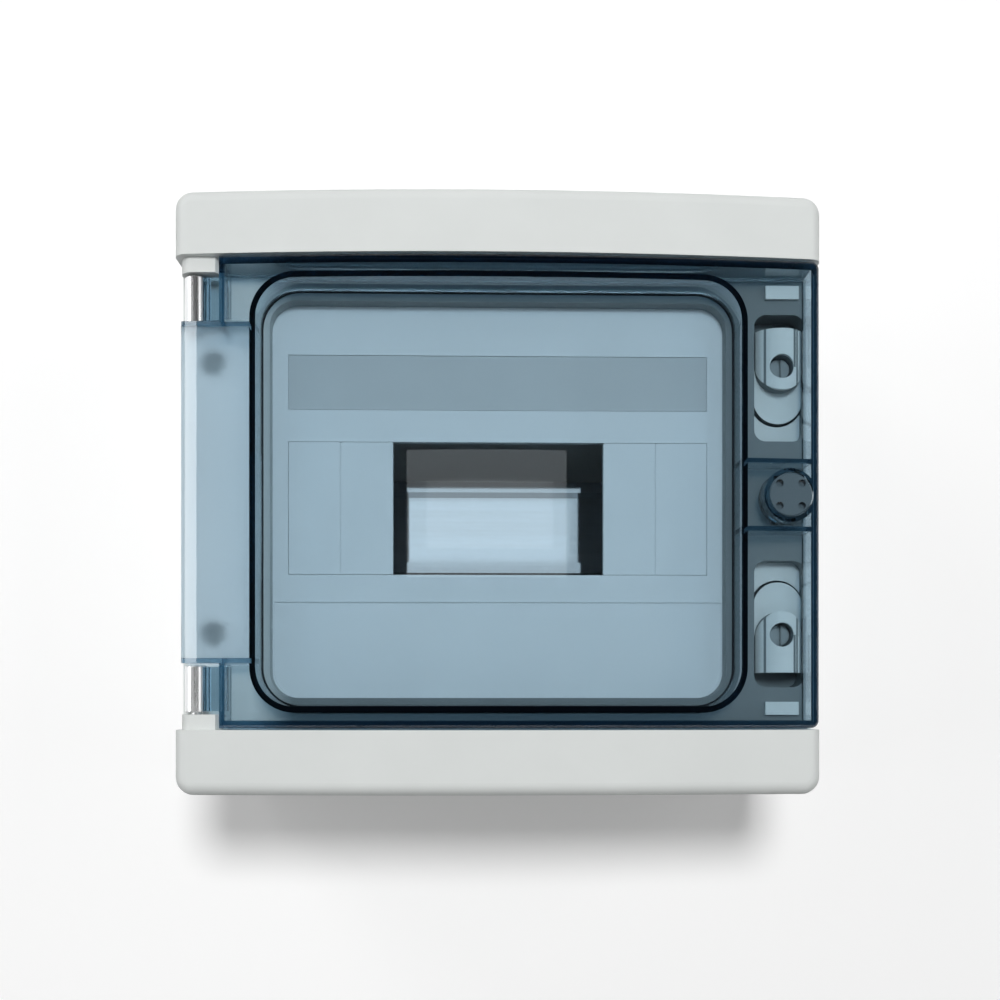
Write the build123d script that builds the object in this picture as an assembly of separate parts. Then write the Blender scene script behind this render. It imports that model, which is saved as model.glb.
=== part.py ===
from build123d import *
import math
import os

# Eight-module wall-mounted DC combiner enclosure. Millimetres, X right, Z up.
# The wall is the plane Y = 0 and the front faces -Y, so "depth" below is the distance
# in front of the wall. The origin is the centre of the back face.

# ---- overall ----
box_width = 215.0
box_height = 200.0
crown_depth = 105.0  # wall to the top of the convex front
side_depth = 100.0  # wall to the front at the left and right edges
base_depth = 52.0  # wall to the parting line between base and cover
corner_radius = 6.0
front_edge_radius = 4.5
base_inset = 1.0  # base walls stand this far inside the rim
cover_wall = 2.5
cover_skin = 1.0  # what is added inside the cover stops this far within its outer face
base_wall = 2.5
base_floor = 3.0

# ---- base ----
rim_height = 6.0
rim_width = 6.5
seal_inset = 2.0  # outer face to the middle of the seal
seal_groove_width = 2.2
seal_groove_depth = 3.0
seal_width = 1.9
seal_height = 2.0
seal_tongue_width = 1.0
seal_gap = 0.3
wall_hole_x = 85.0
wall_hole_z = 76.0
wall_hole_radius = 2.6
wall_hole_pad_radius = 6.0
wall_hole_pad_height = 3.0
knockout_depth = 24.0
knockout_groove = 0.9
knockout_cut = 1.2
top_knockouts = ((-60.0, 10.2), (0.0, 12.7), (60.0, 10.2))
side_knockout_radius = 10.2

# ---- DIN rail ----
rail_z = -2.0
rail_length = 150.0
rail_height = 35.0
rail_channel = 27.0
rail_rise = 7.5
rail_sheet = 1.0
device_height = 45.0  # from the lips that devices hook on to the device plate's front
rail_post_x = 60.0
rail_post_radius = 5.0
rail_slot_length = 15.0
rail_slot_width = 5.2
rail_screw_radius = 1.9
rail_screw_head_radius = 4.0
rail_screw_head_height = 2.4
rail_screw_reach = 14.0
rail_screw_recess = (3.8, 0.9, 1.2)  # length and width of the blades, depth

# ---- terminal bars ----
terminal_z = 72.0
terminal_count = 12
terminal_pitch = 8.5
terminal_bar_height = 7.0
terminal_bar_depth = 9.0
terminal_holder_height = 14.0
terminal_holder_depth = 11.0
terminal_wire_radius = 2.3
terminal_screw_radius = 1.7
terminal_screw_head_radius = 2.4
terminal_screw_head_height = 1.6
terminal_slot = 0.8  # width and depth

# ---- cover ----
door_zone = 78.3  # half height of the recess that the door closes
seat_depth = 86.0  # wall to the flat floor under the door
seat_floor = 2.5
opening_half_x = 78.0
opening_half_z = 67.7
opening_radius = 9.0
well_wall = 2.0
column_x = 97.0  # cover screws and latch stand on these two columns
cover_screw_z = 46.0

# ---- pockets with the right-hand cover screws ----
pocket_left = 87.8
pocket_inner_z = 20.5
pocket_outer_z = 64.0
pocket_drop = 10.0  # floor of the pocket, behind the seat
pocket_wall = 2.0
pocket_radius = 4.0
tower_radius = 8.0
tower_rise = 2.0  # crest, in front of the seat
tower_crest_radius = 8.6
tower_end_gap = 5.0
tower_flutes = (32.0, 47.0, 62.0)  # degrees round the crest
flute_radius = 0.6
step_radius = 8.5
step_inner_z = 36.0
step_drop = 4.5
crescent_gap = 0.8
crescent_drop = 6.0
pad_half_x = 5.7
pad_low_z = 69.0
pad_high_z = 73.5
pad_rise = 1.5

# ---- cover screws, quarter turn ----
screw_shaft_radius = 3.0
screw_head_radius = 3.8
screw_head_height = 3.0
screw_head_chamfer = 0.4
screw_seat_rise = 3.0  # above the pocket floor
screw_hole_gap = 0.1
screw_counterbore_gap = 0.35
screw_tube_radius = 6.0
screw_tube_gap = 0.4
screw_slot_width = 1.3
screw_slot_depth = 1.6
screw_bar_length = 11.0
screw_bar_width = 3.4
screw_bar_height = 3.0
screw_bar_gap = 0.4
post_radius = 7.4
post_top_depth = 48.0
post_top_thickness = 3.0
post_bore_height = 7.0
ring_section = 0.45
ring_gap = 0.05

# ---- device plate ----
plate_drop = 6.0  # plate front, behind the seat
plate_thickness = 2.5
plate_overlap = 2.5
plate_screw_x = 60.0
plate_screw_z = 74.2
plate_boss_radius = 3.5
plate_screw_radius = 1.4
plate_screw_head_radius = 2.8
plate_screw_head_height = 1.8
plate_screw_recess = (3.0, 0.8, 0.9)  # length and width of the blades, depth
plate_screw_bore_end = 1.0  # from the seat to the end of the bore
plate_screw_tip = 1.3  # from the seat to the screw's tip
module_pitch = 18.0
module_count = 8
open_modules = 4
module_margin = 1.0
window_height = 46.0
strip_gap = 0.15
strip_lip = 1.5
strip_lip_thickness = 1.0
score_width = 0.6
score_depth = 0.5
label_low_z = 32.0
label_high_z = 51.0
label_recess = 0.8
label_thickness = 0.6
panel_step_z = -34.5
panel_step = 0.6
panel_margin = 0.5  # between the opening's edge and the stepped face

# ---- door ----
door_left = -105.0
door_right = 106.5
door_gap = 0.6  # between the door and the bands above and below it
door_floor_gap = 0.6
door_wall = 2.5
door_radius = 2.5
door_edge_radius = 1.0
door_rib_half_x = 81.4
door_rib_half_z = 71.6
door_rib_radius = 14.0
door_rib_width = 2.0
door_rib_gap = 0.3
gasket_width = 2.4
gasket_groove_gap = 0.1
gasket_groove_depth = 2.0
gasket_rise = 1.0
gasket_backing = 2.0
pad_rib_z = 11.3
small_rib_width = 1.6
small_rib_gap = 2.0  # between the seat and the small ribs

# ---- hinge ----
hinge_x = -101.4
hinge_rise = 7.5  # axis, in front of the seat
notch_right = -92.2
notch_z = 56.2
pin_radius = 1.5
pin_fit = 0.02
sleeve_radius = 3.7
sleeve_fit = 0.06
sleeve_inner_z = 56.9
sleeve_outer_z = 72.6
pin_inner_z = 57.4
ear_inner_z = 73.2
ear_right = -92.8
ear_radius = 4.6
pin_end_gap = 0.8
pin_chamfer = 0.3
sleeve_chamfer = 0.4
clip_gap = 0.05
clip_wall = 1.5
clip_inset = 0.5
arm_half_depth = 2.4

# ---- latch ----
knob_radius = 7.3
knob_gap = 0.2
knob_recess = 0.7
knob_chamfer = 0.5
boss_wall = 1.5
boss_gap = 5.0  # between the seat and the boss
boss_floor = 2.0
shaft_radius = 3.0
shaft_gap = 0.1
finger_hole_radius = 1.3
finger_hole_circle = 5.3
finger_hole_depth = 2.2
cam_length = 15.0
cam_width = 6.4
cam_thickness = 2.5
cam_radius = 1.5
cam_floor_gap = 0.6
cam_slot_gap = 0.6
tenon = 3.4
tenon_gap = 0.05
tenon_end_gap = 0.2  # between the tenon's end and the back of the cam
cam_screw_radius = 1.2
cam_screw_head_radius = 2.6
cam_screw_head_height = 1.8
cam_screw_reach = 6.0
cam_screw_tip_gap = 0.5

# ---- worked out from the above ----
half_width = box_width / 2
half_height = box_height / 2
bulge = crown_depth - side_depth
crown_radius = (half_width**2 + bulge**2) / (2 * bulge)
tall = 3 * max(box_width, box_height)
pocket_floor_depth = seat_depth - pocket_drop
tower_crest_depth = seat_depth + tower_rise
step_depth = seat_depth - step_drop
crescent_depth = seat_depth - crescent_drop
screw_seat_depth = pocket_floor_depth + screw_seat_rise
plate_front_depth = seat_depth - plate_drop
rail_front_depth = plate_front_depth - device_height
rail_back_depth = rail_front_depth - rail_rise
small_rib_depth = seat_depth + small_rib_gap
hinge_depth = seat_depth + hinge_rise
boss_floor_depth = seat_depth + boss_gap
window_half = (open_modules * module_pitch + module_margin) / 2
strips_half = (module_count * module_pitch + module_margin) / 2 + strip_gap
window_low = rail_z - window_height / 2
window_high = rail_z + window_height / 2
plate_back_depth = plate_front_depth - plate_thickness
door_half_z = door_zone - door_gap
door_foot_depth = seat_depth + door_floor_gap
gasket_base_depth = seat_depth - gasket_groove_depth
knob_face_depth = crown_depth - (crown_radius - math.sqrt(crown_radius**2 - column_x**2)) - knob_recess
shaft_end_depth = seat_depth - seat_floor - cam_floor_gap
screw_places = {
    "upper_left": (-column_x, cover_screw_z),
    "upper_right": (column_x, cover_screw_z),
    "lower_left": (-column_x, -cover_screw_z),
    "lower_right": (column_x, -cover_screw_z),
}
SIDES = {"upper": 1, "lower": -1}


def slab(sketch, depth_from, depth_to):
    """A face drawn in X and Z, made solid between two depths."""
    return extrude(Plane.XZ.offset(depth_from) * sketch, amount=depth_to - depth_from)


def block(x_from, x_to, z_from, z_to, depth_from, depth_to):
    face = Rectangle(abs(x_to - x_from), abs(z_to - z_from))
    return slab(Pos((x_from + x_to) / 2, (z_from + z_to) / 2) * face, depth_from, depth_to)


def peg(x, z, radius, depth_from, depth_to):
    return slab(Pos(x, z) * Circle(radius), depth_from, depth_to)


def rounded(half_x, half_z, radius):
    return RectangleRounded(2 * half_x, 2 * half_z, radius)


def frame(half_x, half_z, radius, width, depth_from, depth_to):
    """A rectangular ring of this width about a rounded centre line."""
    half = width / 2
    outer = rounded(half_x + half, half_z + half, radius + half)
    inner = rounded(half_x - half, half_z - half, radius - half)
    return slab(outer - inner, depth_from, depth_to)


def under_crown(inset):
    """Everything behind the convex front surface, less this inset."""
    return Pos(0, crown_radius - crown_depth, 0) * Cylinder(crown_radius - inset, tall)


def upright(x, depth, radius, z_from, z_to):
    """A cylinder that stands along Z."""
    low, high = min(z_from, z_to), max(z_from, z_to)
    return Pos(x, -depth, (low + high) / 2) * Cylinder(radius, high - low)


def one_solid(shape):
    """The largest solid of a shape, with shared faces merged."""
    return max(shape.clean().solids(), key=lambda solid: solid.volume)


def o_ring(x, z, major, depth):
    """A rubber ring that rests on a face at this depth."""
    place = Plane.XZ.offset(depth + ring_section).location
    return Pos(x, 0, z) * place * Torus(major, ring_section)


def base_box():
    outer = rounded(half_width - base_inset, half_height - base_inset, corner_radius - base_inset)
    body = slab(outer, 0, base_depth)
    body += slab(rounded(half_width, half_height, corner_radius), base_depth - rim_height, base_depth)
    inset = base_inset + base_wall
    room = rounded(half_width - inset, half_height - inset, corner_radius - inset)
    body -= slab(room, base_floor, base_depth - rim_height)
    mouth = rounded(half_width - rim_width, half_height - rim_width, corner_radius - base_inset)
    body -= slab(mouth, base_depth - rim_height, base_depth)
    seal_line = (half_width - seal_inset, half_height - seal_inset, corner_radius - seal_inset)
    body -= frame(*seal_line, seal_groove_width, base_depth - seal_groove_depth, base_depth)
    for x, z in screw_places.values():
        body += peg(x, z, post_radius, 0, post_top_depth)
    for side in (-1, 1):
        body += peg(side * rail_post_x, rail_z, rail_post_radius, 0, rail_back_depth)
        for z in (-wall_hole_z, wall_hole_z):
            pad_top = base_floor + wall_hole_pad_height
            body += peg(side * wall_hole_x, z, wall_hole_pad_radius, 0, pad_top)
            body -= peg(side * wall_hole_x, z, wall_hole_radius, 0, pad_top)
        bore_depth = rail_back_depth - rail_screw_reach
        body -= peg(side * rail_post_x, rail_z, rail_screw_radius + ring_gap, bore_depth, rail_back_depth)
    bore_top = post_top_depth - post_top_thickness
    bore_radius = screw_bar_length / 2 + screw_bar_gap
    slot = Rectangle(screw_bar_width + 2 * screw_bar_gap, screw_bar_length + 2 * screw_bar_gap)
    for x, z in screw_places.values():
        keyhole = slot + Circle(screw_shaft_radius + screw_bar_gap)
        room = peg(x, z, bore_radius, bore_top - post_bore_height, bore_top)
        room += slab(Pos(x, z) * keyhole, bore_top, post_top_depth)
        body -= room + peg(x, z, screw_tube_radius + screw_tube_gap, post_top_depth, base_depth)
    return one_solid(body - knockouts())


def knockouts():
    """Shallow rings that mark the cable entries on the four sides."""
    cuts = []
    face_z = half_height - base_inset
    face_x = half_width - base_inset
    for x, radius in top_knockouts:
        for side in (-1, 1):
            cuts.append(Pos(x, -knockout_depth, side * face_z) * knockout_ring(radius))
    for side in (-1, 1):
        place = Pos(side * face_x, -knockout_depth, 0) * Rot(0, 90, 0)
        cuts.append(place * knockout_ring(side_knockout_radius))
    return Compound(cuts)


def knockout_ring(radius):
    height = 2 * knockout_cut
    return Cylinder(radius, height) - Cylinder(radius - knockout_groove, height)


def cover_gasket():
    bottom = base_depth - seal_groove_depth
    seal_line = (half_width - seal_inset, half_height - seal_inset, corner_radius - seal_inset)
    return frame(*seal_line, seal_width, bottom, bottom + seal_height)


def din_rail():
    half = rail_height / 2
    channel = rail_channel / 2
    outline = [
        (-half, rail_front_depth),
        (-channel, rail_front_depth),
        (-channel, rail_back_depth + rail_sheet),
        (channel, rail_back_depth + rail_sheet),
        (channel, rail_front_depth),
        (half, rail_front_depth),
        (half, rail_front_depth - rail_sheet),
        (channel + rail_sheet, rail_front_depth - rail_sheet),
        (channel + rail_sheet, rail_back_depth),
        (-channel - rail_sheet, rail_back_depth),
        (-channel - rail_sheet, rail_front_depth - rail_sheet),
        (-half, rail_front_depth - rail_sheet),
    ]
    points = [(-rail_length / 2, -depth, rail_z + z) for z, depth in outline]
    rail = extrude(make_face(Polyline(*points, close=True)), amount=rail_length, dir=(1, 0, 0))
    slot = SlotOverall(rail_slot_length, rail_slot_width)
    for side in (-1, 1):
        place = Pos(side * rail_post_x, rail_z)
        rail -= slab(place * slot, rail_back_depth, rail_back_depth + rail_sheet)
    return one_solid(rail)


def rail_screws():
    seat = rail_back_depth + rail_sheet
    screws = []
    for side in (-1, 1):
        x = side * rail_post_x
        screw = peg(x, rail_z, rail_screw_radius, seat - rail_screw_reach, seat)
        head = peg(x, rail_z, rail_screw_head_radius, seat, seat + rail_screw_head_height)
        screw += fillet(head.edges().sort_by(Axis.Y)[0], rail_screw_head_height / 2)
        head_top = seat + rail_screw_head_height
        length, width, cut = rail_screw_recess
        screw -= slab(Pos(x, rail_z) * cross_blades(length, width), head_top - cut, head_top)
        screws.append(one_solid(screw))
    return screws


def cross_blades(length, width):
    return Rectangle(length, width) + Rectangle(width, length)


def terminal_places():
    first = -(terminal_count - 1) / 2
    return [(first + i) * terminal_pitch for i in range(terminal_count)]


def terminal_holder(side):
    half = terminal_count * terminal_pitch / 2 + 2 * terminal_bar_height / 2
    z = side * terminal_z
    high = terminal_holder_height / 2
    top = base_floor + terminal_holder_depth
    body = block(-half, half, z - high, z + high, base_floor, top)
    for end in (-1, 1):
        foot = end * (half + terminal_bar_height)
        body += block(end * half, foot, z - high, z + high, base_floor, base_floor + base_wall)
    keep = terminal_bar_height / 2 + ring_gap
    body -= block(-half, half, z - keep, z + keep, top - base_wall, top)
    return one_solid(body)


def terminal_bar(side):
    half = terminal_count * terminal_pitch / 2 + terminal_bar_height / 2
    z = side * terminal_z
    high = terminal_bar_height / 2
    back = base_floor + terminal_holder_depth - base_wall
    front = back + terminal_bar_depth
    body = block(-half, half, z - high, z + high, back, front)
    middle = (back + front) / 2
    for x in terminal_places():
        body -= upright(x, middle, terminal_wire_radius, z - high, z + high)
        body -= peg(x, z, terminal_screw_radius + ring_gap, middle, front)
    return one_solid(body)


def terminal_screws(side):
    z = side * terminal_z
    front = base_floor + terminal_holder_depth - base_wall + terminal_bar_depth
    top = front + terminal_screw_head_height
    reach = 2 * terminal_screw_head_radius
    screws = []
    for x in terminal_places():
        screw = peg(x, z, terminal_screw_radius, front - terminal_bar_depth / 3, front)
        screw += peg(x, z, terminal_screw_head_radius, front, top)
        slot = Rectangle(reach, terminal_slot)
        screws.append(one_solid(screw - slab(Pos(x, z) * slot, top - terminal_slot, top)))
    return screws


def front_cover():
    outline = rounded(half_width, half_height, corner_radius)
    body = slab(outline, base_depth, crown_depth + 1) & under_crown(0)
    front_edges = body.edges().filter_by(lambda edge: edge.bounding_box().max.Y < -side_depth + bulge)
    body = fillet(front_edges, front_edge_radius)
    body -= block(-half_width, half_width, -door_zone, door_zone, seat_depth, crown_depth)
    inner = rounded(half_width - cover_wall, half_height - cover_wall, corner_radius - cover_wall)
    body -= slab(inner, base_depth, seat_depth - seat_floor)
    bands = slab(inner, base_depth, crown_depth) & under_crown(cover_wall)
    reach = door_zone + cover_wall
    bands -= block(-half_width, half_width, -reach, reach, base_depth, crown_depth)
    body -= bands
    seal_line = (half_width - seal_inset, half_height - seal_inset, corner_radius - seal_inset)
    tongue_foot = base_depth - seal_groove_depth + seal_height + seal_gap
    body += frame(*seal_line, seal_tongue_width, tongue_foot, base_depth + ring_gap)
    body = add_opening(body)
    body = add_right_pockets(body)
    body = add_screw_seats(body)
    body = add_latch_keeper(body)
    body = add_hinge_ears(body)
    return one_solid(body)


def add_opening(body):
    """The well round the device plate, with the gasket groove and the plate's bosses."""
    gasket_line = (door_rib_half_x, door_rib_half_z, door_rib_radius)
    groove = gasket_width + 2 * gasket_groove_gap
    backing = groove + 2 * well_wall
    body += frame(*gasket_line, backing, gasket_base_depth - gasket_backing, seat_depth - seat_floor)
    well = rounded(opening_half_x + well_wall, opening_half_z + well_wall, opening_radius + well_wall)
    body += slab(well, plate_front_depth, seat_depth - seat_floor)
    bore_end = seat_depth - plate_screw_bore_end
    for x in (-plate_screw_x, plate_screw_x):
        for z in (-plate_screw_z, plate_screw_z):
            body += peg(x, z, plate_boss_radius, plate_front_depth, seat_depth - seat_floor)
            body -= peg(x, z, plate_screw_radius + ring_gap, plate_front_depth, bore_end)
    body -= slab(rounded(opening_half_x, opening_half_z, opening_radius), plate_front_depth, seat_depth)
    return body - frame(*gasket_line, groove, gasket_base_depth, seat_depth)


def add_right_pockets(body):
    """Two recesses on the right, each with a fluted screw tower and steps towards the latch."""
    right = half_width - cover_wall
    middle = (pocket_left + right) / 2
    long = pocket_outer_z - pocket_inner_z
    shell = Rectangle(right - pocket_left + 2 * pocket_wall, long + 2 * pocket_wall)
    room = RectangleRounded(right - pocket_left, long, pocket_radius)
    skin_line = rounded(half_width - cover_skin, half_height - cover_skin, corner_radius)
    inside = slab(skin_line, base_depth, seat_depth)
    for side in (-1, 1):
        place = Pos(middle, side * (pocket_outer_z + pocket_inner_z) / 2)
        body += slab(place * shell, pocket_floor_depth - pocket_wall, seat_depth - seat_floor) & inside
        body -= slab(place * room, pocket_floor_depth, seat_depth)
        body += screw_tower(side) + step(side) + crescent(side)
        pad_z = (side * pad_low_z, side * pad_high_z)
        body += block(column_x - pad_half_x, column_x + pad_half_x, *pad_z, seat_depth, seat_depth + pad_rise)
    return body


def capsule(radius, inner_z, outer_z, side):
    """A strip along Z with one round end, towards the latch."""
    strip = Pos(0, side * (inner_z + outer_z) / 2) * Rectangle(2 * radius, outer_z - inner_z)
    return Pos(column_x, 0) * (strip + Pos(0, side * inner_z) * Circle(radius))


def screw_tower(side):
    end = pocket_outer_z - tower_end_gap
    tower = slab(capsule(tower_radius, cover_screw_z, end, side), pocket_floor_depth, tower_crest_depth)
    axis_depth = tower_crest_depth - tower_crest_radius
    low = cover_screw_z - tower_radius
    crest = upright(column_x, axis_depth, tower_crest_radius, side * low, side * end)
    side_x = (column_x - tower_radius, column_x + tower_radius)
    lower = block(*side_x, side * (low - 1), side * end, pocket_floor_depth, axis_depth)
    tower = tower & (crest + lower)
    for angle in tower_flutes:
        turn = math.radians(angle)
        x = column_x + tower_crest_radius * math.sin(turn)
        depth = axis_depth + tower_crest_radius * math.cos(turn)
        if x + flute_radius < column_x + tower_radius:
            tower -= upright(x, depth, flute_radius, side * cover_screw_z, side * end)
    return tower


def step(side):
    return slab(capsule(step_radius, step_inner_z, cover_screw_z, side), pocket_floor_depth, step_depth)


def crescent(side):
    """A low ledge that follows the round end of the step."""
    low, high = pocket_inner_z, step_inner_z
    ledge = Pos(0, side * (low + high) / 2) * Rectangle(2 * step_radius, high - low)
    ledge -= Pos(0, side * step_inner_z) * Circle(step_radius + crescent_gap)
    clear = Pos(0, side * high) * Rectangle(4 * step_radius, step_radius)
    return slab(Pos(column_x, 0) * (ledge - clear), pocket_floor_depth, crescent_depth)


def add_screw_seats(body):
    hole = screw_shaft_radius + screw_hole_gap
    counterbore = screw_head_radius + screw_counterbore_gap
    foot = post_top_depth + screw_tube_gap
    skin_line = rounded(half_width - cover_skin, half_height - cover_skin, corner_radius)
    inside = slab(skin_line, base_depth - rim_height, seat_depth)
    for x, z in screw_places.values():
        body += peg(x, z, screw_tube_radius, foot, seat_depth - seat_floor) & inside
        body -= peg(x, z, counterbore, screw_seat_depth, crown_depth)
        body -= peg(x, z, hole, foot, screw_seat_depth)
        body -= peg(x, z, screw_tube_radius - pocket_wall, foot, screw_seat_depth - seat_floor)
    return body


def add_latch_keeper(body):
    slot = Rectangle(cam_width + 2 * cam_slot_gap, cam_length + 2 * cam_slot_gap)
    return body - slab(Pos(column_x, 0) * slot, seat_depth - seat_floor, seat_depth)


def add_hinge_ears(body):
    for side in SIDES.values():
        outer = side * (door_zone + 1)
        ear = upright(hinge_x, hinge_depth, ear_radius, side * ear_inner_z, outer)
        arm_depth = (hinge_depth - ear_radius, hinge_depth + ear_radius)
        arm = block(hinge_x, ear_right, side * ear_inner_z, outer, *arm_depth)
        door_swing = upright(hinge_x, hinge_depth, ear_right - hinge_x, side * ear_inner_z, outer)
        body += ear + (arm & door_swing)
        bore_end = side * (door_zone - pin_end_gap)
        body -= upright(hinge_x, hinge_depth, pin_radius + pin_fit, side * ear_inner_z, bore_end)
    return body


def door_gasket():
    gasket_line = (door_rib_half_x, door_rib_half_z, door_rib_radius)
    return frame(*gasket_line, gasket_width, gasket_base_depth, seat_depth + gasket_rise)


def cover_screw(x, z):
    foot = post_top_depth - post_top_thickness - screw_bar_gap
    head_foot = screw_seat_depth + 2 * ring_section + ring_gap
    head_top = head_foot + screw_head_height
    screw = peg(x, z, screw_shaft_radius, foot - screw_bar_height, head_foot)
    bar = Rectangle(screw_bar_width, screw_bar_length)
    screw += slab(Pos(x, z) * bar, foot - screw_bar_height, foot)
    head = peg(x, z, screw_head_radius, head_foot, head_top)
    screw += chamfer(head.edges().sort_by(Axis.Y)[0], screw_head_chamfer)
    blade = Rectangle(screw_slot_width, 2 * screw_head_radius)
    return one_solid(screw - slab(Pos(x, z) * blade, head_top - screw_slot_depth, head_top))


def device_plate():
    edge = plate_overlap
    outline = rounded(opening_half_x + edge, opening_half_z + edge, opening_radius + edge)
    for x in (-plate_screw_x, plate_screw_x):
        tab = Rectangle(2 * plate_boss_radius, 2 * (plate_screw_z + plate_boss_radius))
        outline += Pos(x, 0) * tab
    body = slab(outline, plate_back_depth, plate_front_depth)
    for x in (-plate_screw_x, plate_screw_x):
        for z in (-plate_screw_z, plate_screw_z):
            body -= peg(x, z, plate_screw_radius + ring_gap, plate_back_depth, plate_front_depth)
    body -= block(-strips_half, strips_half, window_low, window_high, plate_back_depth, plate_front_depth)
    recess = (label_low_z, label_high_z, plate_front_depth - label_recess, plate_front_depth)
    body -= block(-strips_half, strips_half, *recess)
    inside = rounded(opening_half_x - panel_margin, opening_half_z - panel_margin, opening_radius)
    lower = slab(inside, plate_front_depth - panel_step, plate_front_depth)
    body -= lower & block(-half_width, half_width, -half_height, panel_step_z, 0, crown_depth)
    return one_solid(body)


def blank_strip(side):
    """Closes two module places at one end of the window, with a score line between them."""
    inner = side * window_half
    outer = side * (strips_half - strip_gap)
    low, high = window_low + strip_gap, window_high - strip_gap
    body = block(inner, outer, low, high, plate_back_depth, plate_front_depth)
    lip_back = plate_back_depth - strip_lip_thickness
    lip_z = (window_low - strip_lip, window_high + strip_lip)
    body += block(inner, side * (strips_half + strip_lip), *lip_z, lip_back, plate_back_depth)
    score = side * (window_half + module_pitch)
    score_x = (score - score_width / 2, score + score_width / 2)
    body -= block(*score_x, low, high, plate_front_depth - score_depth, plate_front_depth)
    return one_solid(body)


def label_strip():
    back = plate_front_depth - label_recess
    low, high = label_low_z + strip_gap, label_high_z - strip_gap
    half = strips_half - strip_gap
    return block(-half, half, low, high, back, back + label_thickness)


def plate_screws():
    head_top = plate_back_depth - plate_screw_head_height
    length, width, cut = plate_screw_recess
    screws = []
    for x in (-plate_screw_x, plate_screw_x):
        for z in (-plate_screw_z, plate_screw_z):
            screw = peg(x, z, plate_screw_radius, plate_back_depth, seat_depth - plate_screw_tip)
            head = peg(x, z, plate_screw_head_radius, head_top, plate_back_depth)
            screw += fillet(head.edges().sort_by(Axis.Y)[-1], plate_screw_head_height / 2)
            screw -= slab(Pos(x, z) * cross_blades(length, width), head_top, head_top + cut)
            screws.append(one_solid(screw))
    return screws


def hinge_pin(side):
    end = side * (door_zone - pin_end_gap - ring_gap)
    pin = upright(hinge_x, hinge_depth, pin_radius, side * pin_inner_z, end)
    return chamfer(pin.edges().filter_by(GeomType.CIRCLE), pin_chamfer)


def hinge_sleeve(side):
    body = upright(hinge_x, hinge_depth, sleeve_radius, side * sleeve_inner_z, side * sleeve_outer_z)
    body = chamfer(body.edges().filter_by(GeomType.CIRCLE), sleeve_chamfer)
    bore = pin_radius + sleeve_fit
    return body - upright(hinge_x, hinge_depth, bore, side * sleeve_inner_z, side * sleeve_outer_z)


def door_shell():
    width = door_right - door_left
    middle = (door_left + door_right) / 2
    outline = Pos(middle, 0) * RectangleRounded(width, 2 * door_half_z, door_radius)
    body = slab(outline, door_foot_depth, crown_depth + 1) & under_crown(0)
    front_edges = body.edges().filter_by(lambda edge: edge.bounding_box().max.Y < -side_depth + bulge)
    body = fillet(front_edges, door_edge_radius)
    inner_z = door_half_z - door_wall
    room = block(door_left - 1, door_right - door_wall, -inner_z, inner_z, door_foot_depth - 1, crown_depth)
    body -= room & under_crown(door_wall)
    ribs = frame(door_rib_half_x, door_rib_half_z, door_rib_radius, door_rib_width,
                 seat_depth + gasket_rise + door_rib_gap, crown_depth)
    rib_left = -door_rib_half_x
    rib_right = door_right - door_wall / 2
    for side in (-1, 1):
        pad_z = (side * (pad_rib_z - small_rib_width / 2), side * (pad_rib_z + small_rib_width / 2))
        ribs += block(door_rib_half_x, rib_right, *pad_z, small_rib_depth, crown_depth)
        notch_rib = (side * (notch_z - small_rib_width), side * notch_z)
        ribs += block(door_left, rib_left, *notch_rib, hinge_depth - 2, crown_depth)
        upright_rib = (notch_right, notch_right + small_rib_width)
        upright_rib += (side * (notch_z - small_rib_width), side * door_half_z)
        ribs += block(*upright_rib, small_rib_depth, crown_depth)
    ribs += peg(column_x, 0, knob_radius + knob_gap + boss_wall, boss_floor_depth, crown_depth)
    body += ribs & under_crown(door_wall / 2)
    for side in (-1, 1):
        notch = (side * notch_z, side * half_height)
        body -= block(door_left - 1, notch_right, *notch, door_foot_depth, crown_depth + 1)
        body += hinge_clip(side)
    body -= peg(column_x, 0, knob_radius + knob_gap, boss_floor_depth + boss_floor, crown_depth)
    body -= peg(column_x, 0, shaft_radius + shaft_gap, boss_floor_depth, crown_depth)
    return one_solid(body)


def hinge_clip(side):
    """The door's arm and the open clip that wraps the back of the hinge sleeve."""
    low, high = side * (sleeve_inner_z + clip_inset), side * (sleeve_outer_z - clip_inset)
    inner = sleeve_radius + clip_gap
    outer = inner + clip_wall
    clip = upright(hinge_x, hinge_depth, outer, low, high)
    front = (hinge_depth, hinge_depth + 2 * outer)
    clip -= block(hinge_x - 2 * outer, hinge_x + 2 * outer, -half_height, half_height, *front)
    left = (hinge_x - 2 * outer, hinge_x - inner / 2)
    clip -= block(*left, -half_height, half_height, 0, crown_depth)
    arm_depth = (hinge_depth - arm_half_depth, hinge_depth + arm_half_depth)
    clip += block(hinge_x, notch_right + 1, low, high, *arm_depth)
    return clip - upright(hinge_x, hinge_depth, inner, -half_height, half_height)


def latch_knob():
    foot = boss_floor_depth + boss_floor + 2 * ring_section + ring_gap
    back = shaft_end_depth - cam_thickness
    knob = peg(column_x, 0, knob_radius, foot, knob_face_depth)
    knob = chamfer(knob.edges().sort_by(Axis.Y)[0], knob_chamfer)
    knob += peg(column_x, 0, shaft_radius, shaft_end_depth, foot)
    square = Rectangle(tenon, tenon)
    knob += slab(Pos(column_x, 0) * square, back + tenon_end_gap, shaft_end_depth)
    for turn in (45, 135, 225, 315):
        x = column_x + finger_hole_circle * math.cos(math.radians(turn))
        z = finger_hole_circle * math.sin(math.radians(turn))
        knob -= peg(x, z, finger_hole_radius, knob_face_depth - finger_hole_depth, knob_face_depth)
    bore = cam_screw_radius + ring_gap
    return one_solid(knob - peg(column_x, 0, bore, back, back + cam_screw_reach))


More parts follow.
